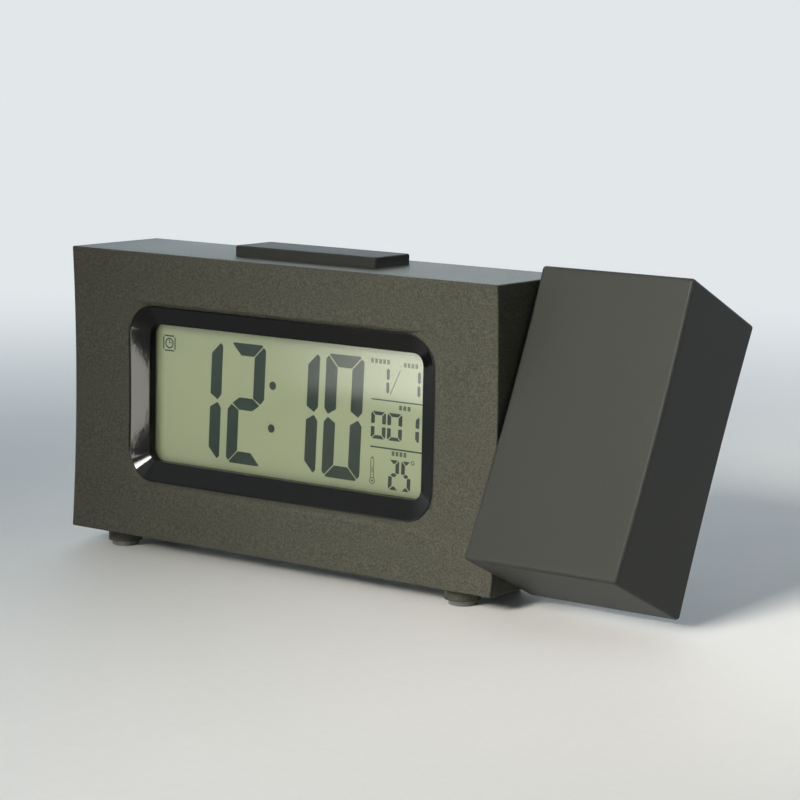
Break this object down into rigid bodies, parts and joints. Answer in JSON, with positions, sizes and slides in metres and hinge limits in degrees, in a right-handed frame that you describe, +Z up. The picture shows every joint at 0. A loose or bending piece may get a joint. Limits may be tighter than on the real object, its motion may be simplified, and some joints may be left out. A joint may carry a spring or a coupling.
{
  "type": "projection alarm clock",
  "caption": "Low box-shaped digital alarm clock with a recessed liquid-crystal display, a snooze bar on top and a tilting projector arm at its right end.",
  "frame": {"origin": "middle of the whole object's footprint at rest, on the surface that its feet stand on", "axes": "+X to the projector arm's end, which is the viewer's right; +Y to the rear, away from the display; +Z up"},
  "size_m": [0.1896, 0.0642, 0.0883],
  "materials": {
    "body_plastic": "fine spark grain",
    "cover_plastic": "fine spark grain",
    "arm_plastic": "smooth matte",
    "key_plastic": "satin",
    "snooze_plastic": "satin",
    "bezel_plastic": "high gloss",
    "frame_plastic": "as moulded",
    "lens_plastic": "clear",
    "lcd_glass": "grey-green polariser",
    "guide_plastic": "frosted",
    "white_sheet": "white film",
    "board": "solder mask",
    "resin": "epoxy",
    "component": "moulded",
    "elastomer": "matt",
    "pad_rubber": "translucent silicone",
    "steel": "zinc plated",
    "black_steel": "blackened",
    "bronze": "spring bronze",
    "cell_jacket": "plain jacket",
    "wire_red": "insulation",
    "wire_grey": "insulation",
    "wire_black": "insulation",
    "led_white": "moulded",
    "led_red": "clear red epoxy",
    "optic": "polished",
    "image_glass": "dark image glass"
  },
  "bodies": {
    "body": {"front_shell": "body_plastic", "rear_cover": "cover_plastic", "case_screws": "black_steel", "foot_pads": "pad_rubber", "display_bezel": "bezel_plastic", "display_lens": "lens_plastic", "lcd_front_glass": "lcd_glass", "lcd_rear_glass": "lcd_glass", "light_guide": "guide_plastic", "reflector_sheet": "white_sheet", "backlight_leds": "led_white", "lcd_frame": "frame_plastic", "zebra_strip": "elastomer", "main_board": "board", "board_screws": "steel", "controller_blob": "resin", "crystal_can": "steel", "chip_parts": "component", "thermistor": "component", "buzzer": "component", "snooze_cradle": "frame_plastic", "snooze_springs": "steel", "snooze_switch": "component", "key_board": "board", "key_switches": "component", "alarm_switch": "steel", "battery_cells": "cell_jacket", "battery_springs": "steel", "battery_plates": "steel", "battery_leads": "wire_red", "key_leads": "wire_grey", "buzzer_leads": "wire_red", "pivot_lead": "wire_black", "friction_washer": "bronze"},
    "snooze": {"snooze_bar": "snooze_plastic", "snooze_plunger": "frame_plastic"},
    "mode": {"mode_key": "key_plastic", "mode_plunger": "frame_plastic"},
    "set": {"set_key": "key_plastic", "set_plunger": "frame_plastic"},
    "up": {"up_key": "key_plastic", "up_plunger": "frame_plastic"},
    "down": {"down_key": "key_plastic", "down_plunger": "frame_plastic"},
    "alarm": {"alarm_knob": "key_plastic"},
    "door": {"battery_door": "cover_plastic"},
    "arm": {"arm_shell": "arm_plastic", "arm_cover": "arm_plastic", "arm_screws": "steel", "pivot_retainer": "frame_plastic", "retainer_screws": "steel", "projector_housing": "frame_plastic", "led_board": "board", "projection_led": "led_red", "condenser_lens": "optic", "projection_lcd": "image_glass", "projector_leads": "wire_black"},
    "ring": {"focus_ring": "key_plastic"},
    "barrel": {"lens_barrel": "frame_plastic", "projection_lens": "optic"}
  },
  "joints": [
    {"name": "arm_tilt", "type": "hinge", "parent": "body", "child": "arm", "pos_m": [0.05025, 0, 0.0457], "axis": [-1, 0, 0], "range_deg": [-115, 65]},
    {"name": "snooze_press", "type": "slide", "parent": "body", "child": "snooze", "axis": [0, 0, -1], "range_m": [0, 0.0008], "stiffness_N_per_m": 900, "springref_m": -0.0006, "deforming": ["snooze_springs"]},
    {"name": "mode_press", "type": "slide", "parent": "body", "child": "mode", "axis": [0, -1, 0], "range_m": [0, 0.0007], "stiffness_N_per_m": 1200, "springref_m": -0.0004},
    {"name": "set_press", "type": "slide", "parent": "body", "child": "set", "axis": [0, -1, 0], "range_m": [0, 0.0007], "stiffness_N_per_m": 1200, "springref_m": -0.0004},
    {"name": "up_press", "type": "slide", "parent": "body", "child": "up", "axis": [0, -1, 0], "range_m": [0, 0.0007], "stiffness_N_per_m": 1200, "springref_m": -0.0004},
    {"name": "down_press", "type": "slide", "parent": "body", "child": "down", "axis": [0, -1, 0], "range_m": [0, 0.0007], "stiffness_N_per_m": 1200, "springref_m": -0.0004},
    {"name": "alarm_slide", "type": "slide", "parent": "body", "child": "alarm", "axis": [1, 0, 0], "range_m": [0, 0.003]},
    {"name": "door_open", "type": "hinge", "parent": "body", "child": "door", "pos_m": [-0.02275, 0.0161, 0.04585], "axis": [1, 0, 0], "range_deg": [0, 25]},
    {"name": "barrel_slide", "type": "slide", "parent": "arm", "child": "barrel", "axis": [0, 0.4226, 0.9063], "range_m": [-0.0015, 0.0015]},
    {"name": "focus_turn", "type": "hinge", "parent": "arm", "child": "ring", "pos_m": [0.07325, 0, 0.0457], "axis": [0, 0.4226, 0.9063], "range_deg": [-180, 180]}
  ],
  "couplings": [
    {"joint": "focus_turn", "follows": "barrel_slide", "rad_per_m": 2094}
  ]
}
